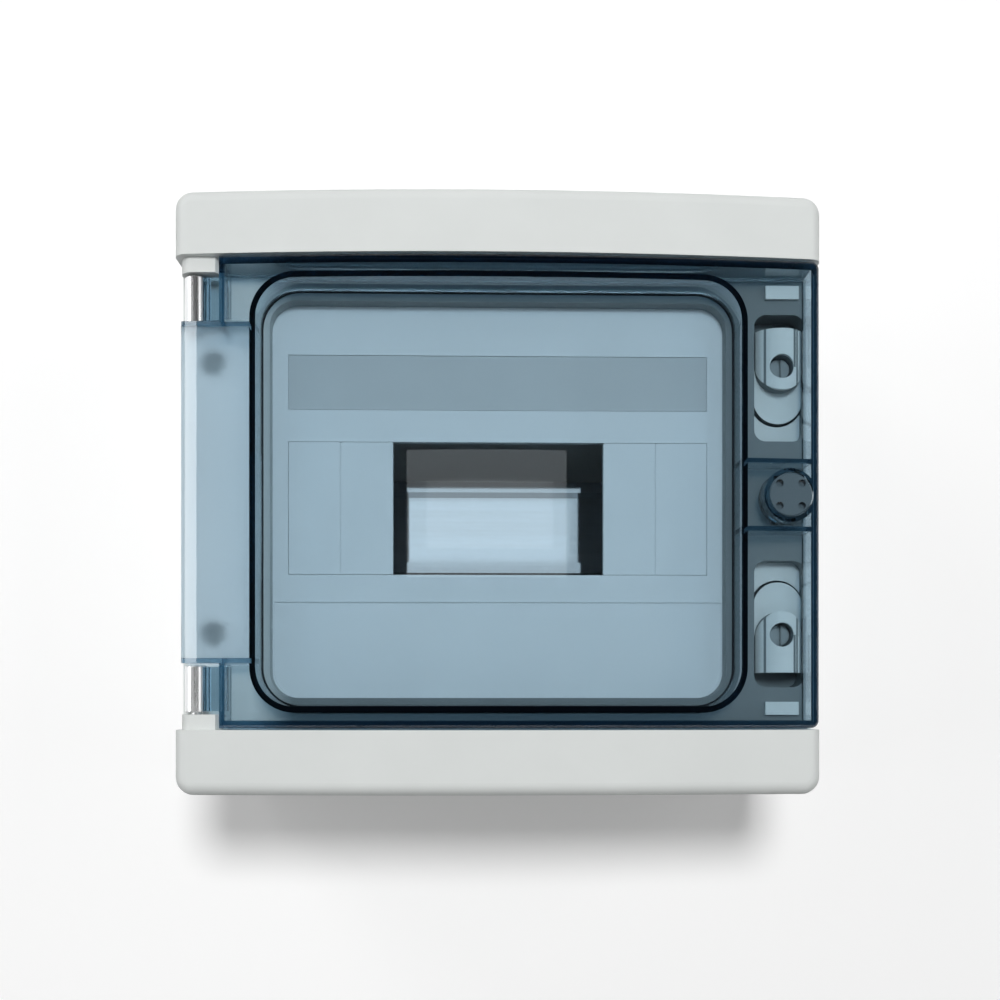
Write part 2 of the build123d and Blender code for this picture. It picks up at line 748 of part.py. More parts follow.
def latch_cam():
    hole = tenon + 2 * tenon_gap
    bar = RectangleRounded(cam_width, cam_length, cam_radius) - Rectangle(hole, hole)
    return slab(Pos(column_x, 0) * bar, shaft_end_depth - cam_thickness, shaft_end_depth)


def latch_screw():
    seat = shaft_end_depth - cam_thickness
    head = peg(column_x, 0, cam_screw_head_radius, seat - cam_screw_head_height, seat)
    head = fillet(head.edges().sort_by(Axis.Y)[-1], cam_screw_head_height / 2)
    tip = seat + cam_screw_reach - cam_screw_tip_gap
    return one_solid(head + peg(column_x, 0, cam_screw_radius, seat, tip))


def build():
    knob_ring = shaft_radius + ring_gap + ring_section
    screw_ring = screw_shaft_radius + ring_gap + ring_section
    parts = {
        "base_box": base_box(),
        "cover_gasket": cover_gasket(),
        "din_rail": din_rail(),
        "rail_screws": rail_screws(),
        "front_cover": front_cover(),
        "door_gasket": door_gasket(),
        "device_plate": device_plate(),
        "blank_strip_left": blank_strip(-1),
        "blank_strip_right": blank_strip(1),
        "label_strip": label_strip(),
        "plate_screws": plate_screws(),
        "door_shell": door_shell(),
        "latch_knob": latch_knob(),
        "latch_cam": latch_cam(),
        "latch_screw": latch_screw(),
        "latch_o_ring": o_ring(column_x, 0, knob_ring, boss_floor_depth + boss_floor),
    }
    for name, side in SIDES.items():
        parts[f"terminal_holder_{name}"] = terminal_holder(side)
        parts[f"terminal_bar_{name}"] = terminal_bar(side)
        parts[f"terminal_screws_{name}"] = terminal_screws(side)
        parts[f"hinge_pin_{name}"] = hinge_pin(side)
        parts[f"hinge_sleeve_{name}"] = hinge_sleeve(side)
    for name, (x, z) in screw_places.items():
        parts[f"cover_screw_{name}"] = cover_screw(x, z)
        parts[f"screw_o_ring_{name}"] = o_ring(x, z, screw_ring, screw_seat_depth)
    return parts


os.makedirs("parts", exist_ok=True)
for node, shape in build().items():
    solids = shape if isinstance(shape, list) else [shape]
    export_step(Compound(label=node, children=solids), f"parts/{node}.step")
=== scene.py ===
"""Finishes for a wall-mounted DC combiner enclosure, laid out as a Blender add-on and run as a script."""

import math

import bmesh
import bpy
from bpy.props import FloatProperty, FloatVectorProperty, PointerProperty
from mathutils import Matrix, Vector


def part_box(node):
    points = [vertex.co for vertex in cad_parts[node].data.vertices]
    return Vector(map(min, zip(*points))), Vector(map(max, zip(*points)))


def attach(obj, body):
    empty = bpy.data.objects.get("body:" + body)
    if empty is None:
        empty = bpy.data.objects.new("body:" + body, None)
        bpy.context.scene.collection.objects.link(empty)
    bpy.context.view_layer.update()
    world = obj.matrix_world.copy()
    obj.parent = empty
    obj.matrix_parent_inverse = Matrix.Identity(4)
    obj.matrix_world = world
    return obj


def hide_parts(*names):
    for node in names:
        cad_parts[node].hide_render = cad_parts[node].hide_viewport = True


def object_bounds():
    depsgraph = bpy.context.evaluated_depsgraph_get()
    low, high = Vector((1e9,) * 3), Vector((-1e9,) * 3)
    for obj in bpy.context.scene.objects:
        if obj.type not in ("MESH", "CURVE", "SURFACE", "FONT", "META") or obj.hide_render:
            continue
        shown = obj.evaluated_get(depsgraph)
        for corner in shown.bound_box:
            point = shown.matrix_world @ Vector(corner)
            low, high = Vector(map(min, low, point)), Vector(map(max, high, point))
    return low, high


bl_info = {
    "name": "Combiner enclosure finishes",
    "version": (1, 0, 0),
    "blender": (4, 5, 0),
    "location": "3D View > Sidebar > Enclosure",
    "description": "Gives a packed combiner enclosure its plastics, metals and seals, and sets its stage",
    "category": "Object",
}

MM = 0.001
CORNERS = ("upper_left", "upper_right", "lower_left", "lower_right")
LEVELS = ("upper", "lower")
TERMINAL_COUNT = 12
SCREW_EDGE = 0.3 * MM
SLOT_REACH = 8 * MM
SCREW_ROW_INPUTS = (
    ("Count", "NodeSocketInt"),
    ("Pitch", "NodeSocketFloat"),
    ("First Screw", "NodeSocketVector"),
    ("Slot Width", "NodeSocketFloat"),
    ("Slot Depth", "NodeSocketFloat"),
    ("Seed", "NodeSocketInt"),
    ("Material", "NodeSocketMaterial"),
)
STRIP_BACK = 5.1 * MM  # behind the door's front, between the two faces of its hinge strip
CHANNEL_MARGIN = 1.5 * MM  # edge of the painted shade, outside the door gasket
CHANNEL_DROP = 10.8 * MM  # depth of the recess that gets the painted shade, from just in front of the seat
CHANNEL_FADE = 14 * MM  # over which the painted shade sets in at the left
LEDGES = (0.6 * MM, 9.6 * MM)  # the towers and steps, behind the seat's front, which the painted shade spares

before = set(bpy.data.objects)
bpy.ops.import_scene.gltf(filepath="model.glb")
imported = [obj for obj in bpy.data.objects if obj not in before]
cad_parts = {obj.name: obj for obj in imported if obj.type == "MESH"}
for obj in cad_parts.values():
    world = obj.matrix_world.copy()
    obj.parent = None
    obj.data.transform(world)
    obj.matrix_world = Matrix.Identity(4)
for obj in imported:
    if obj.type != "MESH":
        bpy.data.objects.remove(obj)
cad_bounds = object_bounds()


# ---- settings ----


def colour_setting(name, description, default):
    return FloatVectorProperty(
        name=name, description=description, subtype="COLOR", size=3, min=0, max=1, default=default
    )


class EnclosureColours(bpy.types.PropertyGroup):
    """Colours of the enclosure's finishes, in linear values."""

    housing: colour_setting("Housing", "Light grey of the base and cover", (0.665, 0.69, 0.68))
    # Painted shade: this dark grey stands in for the shade that falls deep in the recess round the device plate
    channel: colour_setting("Channel", "Darker grey of the recess round the device plate", (0.18, 0.2, 0.205))
    plate: colour_setting("Device plate", "Plate and blank strips", (0.69, 0.715, 0.73))
    label: colour_setting("Label strip", "Blank insert above the module window", (0.51, 0.53, 0.54))
    knob: colour_setting("Knob", "Latch knob", (0.07, 0.105, 0.13))
    screw: colour_setting("Cover screw", "Quarter-turn cover screws", (0.30, 0.33, 0.34))
    seal: colour_setting("Seal", "Rubber gaskets and rings", (0.012, 0.013, 0.015))
    zinc: colour_setting("Zinc", "Rail, cam and small screws", (0.80, 0.83, 0.86))
    steel: colour_setting("Steel", "Hinge pins and sleeves", (0.88, 0.89, 0.90))
    brass: colour_setting("Brass", "Terminal bars", (0.80, 0.58, 0.25))
    holder: colour_setting("Holder", "Terminal bar holders", (0.05, 0.16, 0.36))
    tint: colour_setting("Door tint", "What the smoke-tinted door lets through", (0.2, 0.47, 0.61))


class EnclosureSizes(bpy.types.PropertyGroup):
    """Sizes of the surface finishes."""

    tint_density: FloatProperty(
        name="Tint density", description="Absorption in the door, per metre", default=200.0, min=0
    )
    frost: FloatProperty(
        name="Frost", description="Roughness of the door's back beside the hinges", default=0.45, min=0, max=1
    )
    grain: FloatProperty(
        name="Moulded grain", description="Size of the housing's spark texture", default=0.45 * MM, unit="LENGTH"
    )
    grain_height: FloatProperty(
        name="Grain height", description="Height of the spark texture", default=0.012 * MM, unit="LENGTH"
    )


class EnclosureStage(bpy.types.PropertyGroup):
    """Camera and light."""

    lens: FloatProperty(name="Lens", description="Focal length in millimetres", default=42.73)
    distance: FloatProperty(
        name="Distance", description="Camera to the front edge of the box", default=0.388, unit="LENGTH"
    )
    drop: FloatProperty(name="Drop", description="Camera below the middle of the box", default=0.0684, unit="LENGTH")
    turn: FloatProperty(
        name="Turn", description="Camera turned to the right", default=math.radians(1.3), subtype="ANGLE"
    )
    shift: FloatProperty(name="Rise", description="Upward lens shift", default=0.2)
    key: FloatProperty(name="Key light", description="Power of the key light", default=3.5, unit="POWER")
    side: FloatProperty(name="Side light", description="Power of the tall light on the left", default=2.6, unit="POWER")
    edge: FloatProperty(name="Edge light", description="Power of the slim light for the door", default=0.24, unit="POWER")
    back: FloatProperty(name="Back light", description="Power of the light behind the box", default=4.0, unit="POWER")
    fill: FloatProperty(name="Fill light", description="Power of the fill light", default=2.9, unit="POWER")
    front: FloatProperty(name="Front light", description="Power of the front light", default=11.0, unit="POWER")
    card: FloatProperty(name="Front card", description="Power of the card that metal mirrors", default=0.12, unit="POWER")
    rail_card: FloatProperty(name="Rail card", description="Power of the rail's card", default=0.0285, unit="POWER")
    room: FloatProperty(name="Room light", description="Strength of the surroundings", default=0.25)
    dark: FloatProperty(name="Dark side", description="Share of the room light on the camera's side", default=0.08)


# ---- node helpers ----


def add_node(tree, kind, **values):
    """A node with its own settings, and its sockets' values given by socket name."""
    node = tree.nodes.new(kind)
    sockets = values.pop("sockets", {})
    for name, value in values.items():
        setattr(node, name, value)
    for name, value in sockets.items():
        node.inputs[name].default_value = value
    return node


def new_group(name, inputs, outputs):
    """A shader node group with named sockets, given as (name, kind, default)."""
    group = bpy.data.node_groups.new(name, "ShaderNodeTree")
    for label, kind, default in inputs:
        socket = group.interface.new_socket(label, in_out="INPUT", socket_type=kind)
        if default is not None:
            socket.default_value = default
    for label, kind in outputs:
        group.interface.new_socket(label, in_out="OUTPUT", socket_type=kind)
    start = group.nodes.new("NodeGroupInput")
    end = group.nodes.new("NodeGroupOutput")
    return group, start, end


def object_noise(tree, scale_socket, detail=2.0, roughness=0.5):
    """Noise on the piece's own coordinates, sized by a socket."""
    place = tree.nodes.new("ShaderNodeTexCoord")
    noise = add_node(tree, "ShaderNodeTexNoise", sockets={"Detail": detail, "Roughness": roughness})
    tree.links.new(place.outputs["Object"], noise.inputs["Vector"])
    if scale_socket is not None:
        tree.links.new(scale_socket, noise.inputs["Scale"])
    return noise


def ranged(tree, value, low, high, to_low, to_high):
    """A value stretched between two limits, each a number or a socket."""
    node = tree.nodes.new("ShaderNodeMapRange")
    tree.links.new(value, node.inputs["Value"])
    ends = {"From Min": low, "From Max": high, "To Min": to_low, "To Max": to_high}
    for name, end in ends.items():
        if isinstance(end, (int, float)):
            node.inputs[name].default_value = end
        else:
            tree.links.new(end, node.inputs[name])
    return node.outputs["Result"]


def maths(tree, operation, first, second):
    node = add_node(tree, "ShaderNodeMath", operation=operation)
    for index, value in enumerate((first, second)):
        if isinstance(value, (int, float)):
            node.inputs[index].default_value = value
        else:
            tree.links.new(value, node.inputs[index])
    return node.outputs["Value"]


def moulded_grain_group():
    """Spark-textured moulding: fine bump, uneven gloss and a faint mottle."""
    inputs = (
        ("Colour", "NodeSocketColor", (0.7, 0.7, 0.7, 1)),
        ("Mottle", "NodeSocketFloat", 0.03),
        ("Grains per Metre", "NodeSocketFloat", 2200.0),
        ("Grain Height", "NodeSocketFloat", 0.00001),
        ("Smooth", "NodeSocketFloat", 0.42),
        ("Rough", "NodeSocketFloat", 0.58),
    )
    outputs = (("Colour", "NodeSocketColor"), ("Roughness", "NodeSocketFloat"), ("Normal", "NodeSocketVector"))
    group, start, end = new_group("moulded_grain", inputs, outputs)
    links = group.links
    grain = object_noise(group, start.outputs["Grains per Metre"], 3.0, 0.6)
    cloud = object_noise(group, None, 4.0, 0.55)
    cloud.inputs["Scale"].default_value = 38.0
    bump = add_node(group, "ShaderNodeBump", sockets={"Strength": 0.35})
    links.new(grain.outputs["Fac"], bump.inputs["Height"])
    links.new(start.outputs["Grain Height"], bump.inputs["Distance"])
    shade = ranged(group, cloud.outputs["Fac"], 0.3, 0.7, -1.0, 1.0)
    shade = maths(group, "MULTIPLY_ADD", shade, start.outputs["Mottle"])
    shade.node.inputs[2].default_value = 1.0
    tone = add_node(group, "ShaderNodeMix", data_type="RGBA", blend_type="MULTIPLY", sockets={"Factor": 1.0})
    links.new(start.outputs["Colour"], tone.inputs[6])
    links.new(shade, tone.inputs[7])
    gloss = ranged(group, grain.outputs["Fac"], 0.3, 0.7, start.outputs["Smooth"], start.outputs["Rough"])
    links.new(tone.outputs[2], end.inputs["Colour"])
    links.new(gloss, end.inputs["Roughness"])
    links.new(bump.outputs["Normal"], end.inputs["Normal"])
    return group


def drawn_metal_group():
    """Rolled or turned metal: long streaks in the gloss, the colour and a faint bump."""
    inputs = (
        ("Colour", "NodeSocketColor", (0.8, 0.8, 0.8, 1)),
        ("Stretch", "NodeSocketVector", (20.0, 900.0, 900.0)),
        ("Streak", "NodeSocketFloat", 0.06),
        ("Smooth", "NodeSocketFloat", 0.10),
        ("Rough", "NodeSocketFloat", 0.22),
        ("Scratch Height", "NodeSocketFloat", 0.000004),
    )
    outputs = (("Colour", "NodeSocketColor"), ("Roughness", "NodeSocketFloat"), ("Normal", "NodeSocketVector"))
    group, start, end = new_group("drawn_metal", inputs, outputs)
    links = group.links
    place = group.nodes.new("ShaderNodeTexCoord")
    stretch = add_node(group, "ShaderNodeVectorMath", operation="MULTIPLY")
    links.new(place.outputs["Object"], stretch.inputs[0])
    links.new(start.outputs["Stretch"], stretch.inputs[1])
    streaks = add_node(group, "ShaderNodeTexNoise", sockets={"Scale": 1.0, "Detail": 4.0, "Roughness": 0.6})
    links.new(stretch.outputs["Vector"], streaks.inputs["Vector"])
    shade = ranged(group, streaks.outputs["Fac"], 0.3, 0.7, -1.0, 1.0)
    shade = maths(group, "MULTIPLY_ADD", shade, start.outputs["Streak"])
    shade.node.inputs[2].default_value = 1.0
    tone = add_node(group, "ShaderNodeMix", data_type="RGBA", blend_type="MULTIPLY", sockets={"Factor": 1.0})
    links.new(start.outputs["Colour"], tone.inputs[6])
    links.new(shade, tone.inputs[7])
    gloss = ranged(group, streaks.outputs["Fac"], 0.3, 0.7, start.outputs["Smooth"], start.outputs["Rough"])
    bump = add_node(group, "ShaderNodeBump", sockets={"Strength": 0.25})
    links.new(streaks.outputs["Fac"], bump.inputs["Height"])
    links.new(start.outputs["Scratch Height"], bump.inputs["Distance"])
    links.new(tone.outputs[2], end.inputs["Colour"])
    links.new(gloss, end.inputs["Roughness"])
    links.new(bump.outputs["Normal"], end.inputs["Normal"])
    return group


def group_once(name):
    makers = {"moulded_grain": moulded_grain_group, "drawn_metal": drawn_metal_group}
    return bpy.data.node_groups.get(name) or makers[name]()


def surfaced_material(name, group_name, colour, values, shader_values):
    """A Principled material whose colour, gloss and normal come from one of the groups."""
    material = bpy.data.materials.new(name)
    material.use_nodes = True
    tree = material.node_tree
    shader = tree.nodes["Principled BSDF"]
    for socket, value in shader_values.items():
        shader.inputs[socket].default_value = value
    surface = tree.nodes.new("ShaderNodeGroup")
    surface.node_tree = group_once(group_name)
    surface.inputs["Colour"].default_value = (*colour, 1)
    for socket, value in values.items():
        surface.inputs[socket].default_value = value
    tree.links.new(surface.outputs["Colour"], shader.inputs["Base Color"])
    tree.links.new(surface.outputs["Roughness"], shader.inputs["Roughness"])
    tree.links.new(surface.outputs["Normal"], shader.inputs["Normal"])
    return material


# ---- repeated screws ----


def turned_mesh(name, profile, sides=32):
    """A solid turned about the Y axis from (radius, y) points, with the slot's side at low y."""
    mesh = bpy.data.meshes.new(name)
    shape = bmesh.new()
    rings = []
    for radius, y in profile:
        turns = [2 * math.pi * i / sides for i in range(sides)]
        rings.append([shape.verts.new((radius * math.cos(turn), y, radius * math.sin(turn))) for turn in turns])
    for first, second in zip(rings, rings[1:]):
        for i in range(sides):
            after = (i + 1) % sides
            shape.faces.new((first[i], first[after], second[after], second[i]))
    shape.faces.new(rings[0])
    shape.faces.new(rings[-1])
    bmesh.ops.recalc_face_normals(shape, faces=shape.faces)
    shape.to_mesh(mesh)
    shape.free()
    return mesh


def screw_row_tree():
    """Slotted screws in a row along X, each turned at random."""
    tree = bpy.data.node_groups.new("screw_row", "GeometryNodeTree")
    face = tree.interface
    face.new_socket("Geometry", in_out="INPUT", socket_type="NodeSocketGeometry")
    for name, kind in SCREW_ROW_INPUTS:
        face.new_socket(name, in_out="INPUT", socket_type=kind)
    face.new_socket("Geometry", in_out="OUTPUT", socket_type="NodeSocketGeometry")
    start = tree.nodes.new("NodeGroupInput")
    end = tree.nodes.new("NodeGroupOutput")
    links = tree.links
    size = tree.nodes.new("ShaderNodeCombineXYZ")
    size.inputs["X"].default_value = SLOT_REACH
    links.new(start.outputs["Slot Depth"], size.inputs["Y"])
    links.new(start.outputs["Slot Width"], size.inputs["Z"])
    cutter = tree.nodes.new("GeometryNodeMeshCube")
    links.new(size.outputs["Vector"], cutter.inputs["Size"])
    slotted = add_node(tree, "GeometryNodeMeshBoolean", operation="DIFFERENCE", solver="EXACT")
    links.new(start.outputs["Geometry"], slotted.inputs["Mesh 1"])
    links.new(cutter.outputs["Mesh"], slotted.inputs["Mesh 2"])
    row = add_node(tree, "GeometryNodeMeshLine", mode="OFFSET", count_mode="TOTAL")
    step = tree.nodes.new("ShaderNodeCombineXYZ")
    links.new(start.outputs["Count"], row.inputs["Count"])
    links.new(start.outputs["First Screw"], row.inputs["Start Location"])
    links.new(start.outputs["Pitch"], step.inputs["X"])
    links.new(step.outputs["Vector"], row.inputs["Offset"])
    turn = add_node(tree, "FunctionNodeRandomValue", data_type="FLOAT_VECTOR")
    turn.inputs["Min"].default_value = (0, -1.2, 0)
    turn.inputs["Max"].default_value = (0, 1.2, 0)
    links.new(start.outputs["Seed"], turn.inputs["Seed"])
    spread = tree.nodes.new("GeometryNodeInstanceOnPoints")
    links.new(row.outputs["Mesh"], spread.inputs["Points"])
    links.new(slotted.outputs["Mesh"], spread.inputs["Instance"])
    links.new(turn.outputs["Value"], spread.inputs["Rotation"])
    real = tree.nodes.new("GeometryNodeRealizeInstances")
    links.new(spread.outputs["Instances"], real.inputs["Geometry"])
    paint = tree.nodes.new("GeometryNodeSetMaterial")
    links.new(real.outputs["Geometry"], paint.inputs["Geometry"])
    links.new(start.outputs["Material"], paint.inputs["Material"])
    links.new(paint.outputs["Geometry"], end.inputs["Geometry"])
    return tree


def plain_result(maker, name):
    """The evaluated result of an object's modifiers as a new plain object, without the maker."""
    graph = bpy.context.evaluated_depsgraph_get()
    mesh = bpy.data.meshes.new_from_object(maker.evaluated_get(graph))
    piece = bpy.data.objects.new(name, mesh)
    bpy.context.collection.objects.link(piece)
    bpy.data.objects.remove(maker)
    return piece


def terminal_screw_row(level, material, seed):
    """One bar's screws, in place of the plain CAD ones."""
    low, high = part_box(f"terminal_screws_{level}")
    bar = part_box(f"terminal_bar_{level}")
    head = (high.z - low.z) / 2
    face = bar[0].y
    profile = [
        (head - SCREW_EDGE, low.y),
        (head, low.y + SCREW_EDGE),
        (head, face),
        (head * 0.7, face),
        (head * 0.7, high.y),
    ]
    mesh = turned_mesh("terminal_screw", [(radius, y - low.y) for radius, y in profile])
    maker = bpy.data.objects.new("terminal_screw_maker", mesh)
    bpy.context.collection.objects.link(maker)
    modifier = maker.modifiers.new("screw_row", "NODES")
    modifier.node_group = bpy.data.node_groups.get("screw_row") or screw_row_tree()
    values = {
        "Count": TERMINAL_COUNT,
        "Pitch": (high.x - low.x - 2 * head) / (TERMINAL_COUNT - 1),
        "First Screw": (low.x + head, low.y, (low.z + high.z) / 2),
        "Slot Width": 0.8 * MM,
        "Slot Depth": 1.6 * MM,
        "Seed": seed,
        "Material": material,
    }
    for socket in modifier.node_group.interface.items_tree:
        if socket.name in values:
            modifier[socket.identifier] = values[socket.name]
    piece = plain_result(maker, f"terminal_screw_row_{level}")
    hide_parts(f"terminal_screws_{level}")
    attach(piece, "base")
    return piece


# ---- finishes ----


def housing_plastic(name, colour):
    sizes = bpy.context.scene.enclosure_sizes
    values = {
        "Mottle": 0.018,
        "Grains per Metre": 1 / sizes.grain,
        "Grain Height": sizes.grain_height,
        "Smooth": 0.40,
        "Rough": 0.55,
    }
    return surfaced_material(name, "moulded_grain", colour, values, {"IOR": 1.52})


def within(tree, value, low, high):
    """1 where a value lies between two limits, otherwise 0."""
    node = add_node(tree, "ShaderNodeMath", operation="COMPARE")
    tree.links.new(value, node.inputs[0])
    node.inputs[1].default_value = (low + high) / 2
    node.inputs[2].default_value = (high - low) / 2
    return node.outputs["Value"]


def object_axes(tree, output="Object"):
    """The three parts of a place or a normal on the piece's own axes."""
    place = tree.nodes.new("ShaderNodeTexCoord")
    parts = tree.nodes.new("ShaderNodeSeparateXYZ")
    tree.links.new(place.outputs[output], parts.inputs["Vector"])
    return parts.outputs


def cover_plastic_painted_shade_and_light():
    """The housing plastic, with painted shade: a darker grey in the recess round the device plate and behind the screw
    towers. It also has painted light: a lighter grey on the seat under the door's hinge strip.
    """
    colours = bpy.context.scene.enclosure_colours
    material = housing_plastic("cover_plastic_painted_shade_and_light", colours.housing)
    tree = material.node_tree
    shader = tree.nodes["Principled BSDF"]
    base = shader.inputs["Base Color"].links[0].from_node
    place = object_axes(tree)
    facing = object_axes(tree, "Normal")
    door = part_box("door_shell")
    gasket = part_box("door_gasket")
    seat = -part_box("base_box")[0].y + 34.25 * MM
    left = gasket[0].x - CHANNEL_MARGIN
    # Painted shade: the recess round the plate is coloured darker where shade falls, fading in at the left and sparing
    # the ledges nearer the door
    shade_zone = ranged(tree, place["X"], left, left + CHANNEL_FADE, 0.0, 1.0)
    shade_zone = maths(tree, "MULTIPLY", shade_zone, maths(tree, "LESS_THAN", place["X"], door[1].x))
    shade_zone = maths(tree, "MULTIPLY", shade_zone, within(tree, place["Z"], door[0].z - MM, door[1].z + MM))
    shade_zone = maths(tree, "MULTIPLY", shade_zone, within(tree, place["Y"], -seat, -seat + CHANNEL_DROP))
    ledge = within(tree, place["Y"], -seat + LEDGES[0], -seat + LEDGES[1])
    ledge = maths(tree, "MULTIPLY", ledge, maths(tree, "LESS_THAN", facing["Y"], -0.3))
    shade_zone = maths(tree, "MULTIPLY", shade_zone, maths(tree, "SUBTRACT", 1.0, ledge))
    tone = add_node(tree, "ShaderNodeMix", data_type="RGBA")
    tree.links.new(shade_zone, tone.inputs["Factor"])
    tone.inputs[6].default_value = (*colours.housing, 1)
    tone.inputs[7].default_value = (*colours.channel, 1)
    # Painted light: the seat under the door's hinge strip takes the lighter plate grey so that the strip looks brighter
    sleeve_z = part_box("hinge_sleeve_upper")[0].z
    strip = within(tree, place["X"], door[0].x - MM, left)
    strip = maths(tree, "MULTIPLY", strip, within(tree, place["Z"], -sleeve_z, sleeve_z))
    strip = maths(tree, "MULTIPLY", strip, within(tree, place["Y"], -seat, -seat + CHANNEL_DROP))
    bright = add_node(tree, "ShaderNodeMix", data_type="RGBA")
    tree.links.new(strip, bright.inputs["Factor"])
    tree.links.new(tone.outputs[2], bright.inputs[6])
    bright.inputs[7].default_value = (*colours.plate, 1)
    tree.links.new(bright.outputs[2], base.inputs["Colour"])
    return material


def plain_plastic(name, colour, smooth, rough, grain=0.3 * MM):
    values = {"Mottle": 0.03, "Grains per Metre": 1 / grain, "Grain Height": 0.006 * MM}
    values.update({"Smooth": smooth, "Rough": rough})
    return surfaced_material(name, "moulded_grain", colour, values, {"IOR": 1.5})


def seal_rubber():
    values = {"Mottle": 0.15, "Grains per Metre": 1500.0, "Grain Height": 0.02 * MM, "Smooth": 0.62, "Rough": 0.8}
    colour = bpy.context.scene.enclosure_colours.seal
    return surfaced_material("seal_rubber", "moulded_grain", colour, values, {"IOR": 1.5})


def metal(name, colour, stretch, smooth, rough, streak=0.05):
    values = {"Stretch": stretch, "Streak": streak, "Smooth": smooth, "Rough": rough}
    return surfaced_material(name, "drawn_metal", colour, values, {"Metallic": 1.0})


def smoke_glazing():
    """Clear polycarbonate, tinted through its thickness. Lamps shine through it without caustics."""
    scene = bpy.context.scene
    material = bpy.data.materials.new("smoke_glazing")
    material.use_nodes = True
    tree = material.node_tree
    shader = tree.nodes["Principled BSDF"]
    clear = {"Base Color": (1, 1, 1, 1), "Roughness": 0.0, "IOR": 1.585, "Transmission Weight": 1.0}
    for socket, value in clear.items():
        shader.inputs[socket].default_value = value
    output = tree.nodes["Material Output"]
    path = tree.nodes.new("ShaderNodeLightPath")
    open_shader = add_node(tree, "ShaderNodeBsdfTransparent", sockets={"Color": (1, 1, 1, 1)})
    mix = tree.nodes.new("ShaderNodeMixShader")
    tree.links.new(path.outputs["Is Shadow Ray"], mix.inputs["Fac"])
    tree.links.new(shader.outputs["BSDF"], mix.inputs[1])
    tree.links.new(open_shader.outputs["BSDF"], mix.inputs[2])
    tree.links.new(mix.outputs["Shader"], output.inputs["Surface"])
    absorption = tree.nodes.new("ShaderNodeVolumeAbsorption")
    absorption.inputs["Color"].default_value = (*scene.enclosure_colours.tint, 1)
    absorption.inputs["Density"].default_value = scene.enclosure_sizes.tint_density
    tree.links.new(absorption.outputs["Volume"], output.inputs["Volume"])
    place = object_axes(tree)
    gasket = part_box("door_gasket")
    sleeve_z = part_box("hinge_sleeve_upper")[0].z
    frosted = within(tree, place["X"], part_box("door_shell")[0].x, gasket[0].x)
    frosted = maths(tree, "MULTIPLY", frosted, within(tree, place["Z"], -sleeve_z, sleeve_z))
    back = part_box("door_shell")[0].y + STRIP_BACK
    frosted = maths(tree, "MULTIPLY", frosted, maths(tree, "GREATER_THAN", place["Y"], back))
    frosted = maths(tree, "MULTIPLY", frosted, scene.enclosure_sizes.frost)
    tree.links.new(frosted, shader.inputs["Roughness"])
    return material


def finish_nodes(material, *names):
    """Gives CAD nodes this material."""
    for name in names:
        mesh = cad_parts[name].data
        mesh.materials.clear()
        mesh.materials.append(material)


# ---- operators ----


class PieceOperator:
    """Shared options of the operators that finish pieces."""

    bl_options = {"REGISTER", "UNDO"}


class ENCLOSURE_OT_housing(PieceOperator, bpy.types.Operator):
    """Give the base, cover, device plate and blank strips their grained light grey plastic"""

    bl_idname = "enclosure.housing"
    bl_label = "Housing"

    def execute(self, context):
        colours = context.scene.enclosure_colours
        finish_nodes(housing_plastic("base_plastic", colours.housing), "base_box")
        finish_nodes(cover_plastic_painted_shade_and_light(), "front_cover")
        plate = housing_plastic("plate_plastic", colours.plate)
        finish_nodes(plate, "device_plate", "blank_strip_left", "blank_strip_right")
        label = plain_plastic("label_insert", context.scene.enclosure_colours.label, 0.35, 0.5)
        finish_nodes(label, "label_strip")
        return {"FINISHED"}


class ENCLOSURE_OT_seals(PieceOperator, bpy.types.Operator):
    """Give the gaskets and rings their black rubber"""

    bl_idname = "enclosure.seals"
    bl_label = "Seals"

    def execute(self, context):
        rings = [f"screw_o_ring_{corner}" for corner in CORNERS]
        finish_nodes(seal_rubber(), "cover_gasket", "door_gasket", "latch_o_ring", *rings)
        return {"FINISHED"}


class ENCLOSURE_OT_rail(PieceOperator, bpy.types.Operator):
    """Give the rail and the small screws their bright zinc"""

    bl_idname = "enclosure.rail"
    bl_label = "Rail and small screws"

    def execute(self, context):
        zinc = context.scene.enclosure_colours.zinc
        finish_nodes(metal("rolled_zinc", zinc, (12.0, 900.0, 900.0), 0.03, 0.07, 0.03), "din_rail")
        turned = metal("turned_zinc", zinc, (700.0, 60.0, 700.0), 0.18, 0.32)
        finish_nodes(turned, "rail_screws", "plate_screws", "latch_cam", "latch_screw")
        return {"FINISHED"}


class ENCLOSURE_OT_terminals(PieceOperator, bpy.types.Operator):
    """Give the terminal bars, their screws and holders their finishes"""

    bl_idname = "enclosure.terminals"
    bl_label = "Terminal bars"

    def execute(self, context):
        colours = context.scene.enclosure_colours
        finish_nodes(metal("drawn_brass", colours.brass, (15.0, 800.0, 800.0), 0.2, 0.34), *named("terminal_bar"))
        holder = plain_plastic("holder_plastic", colours.holder, 0.35, 0.5)
        finish_nodes(holder, *named("terminal_holder"))
        screws = metal("screw_zinc", colours.zinc, (700.0, 60.0, 700.0), 0.2, 0.35)
        for seed, level in enumerate(LEVELS):
            terminal_screw_row(level, screws, seed)
        return {"FINISHED"}


class ENCLOSURE_OT_door(PieceOperator, bpy.types.Operator):
    """Give the door its smoke-tinted polycarbonate"""

    bl_idname = "enclosure.door"
    bl_label = "Door"

    def execute(self, context):
        finish_nodes(smoke_glazing(), "door_shell")
        return {"FINISHED"}


class ENCLOSURE_OT_hinges(PieceOperator, bpy.types.Operator):
    """Give the hinge pins and sleeves their polished steel"""

    bl_idname = "enclosure.hinges"
    bl_label = "Hinges"

    def execute(self, context):
        steel = context.scene.enclosure_colours.steel
        polished = metal("polished_steel", steel, (600.0, 600.0, 30.0), 0.24, 0.34, 0.03)
        finish_nodes(polished, *named("hinge_pin"), *named("hinge_sleeve"))
        return {"FINISHED"}


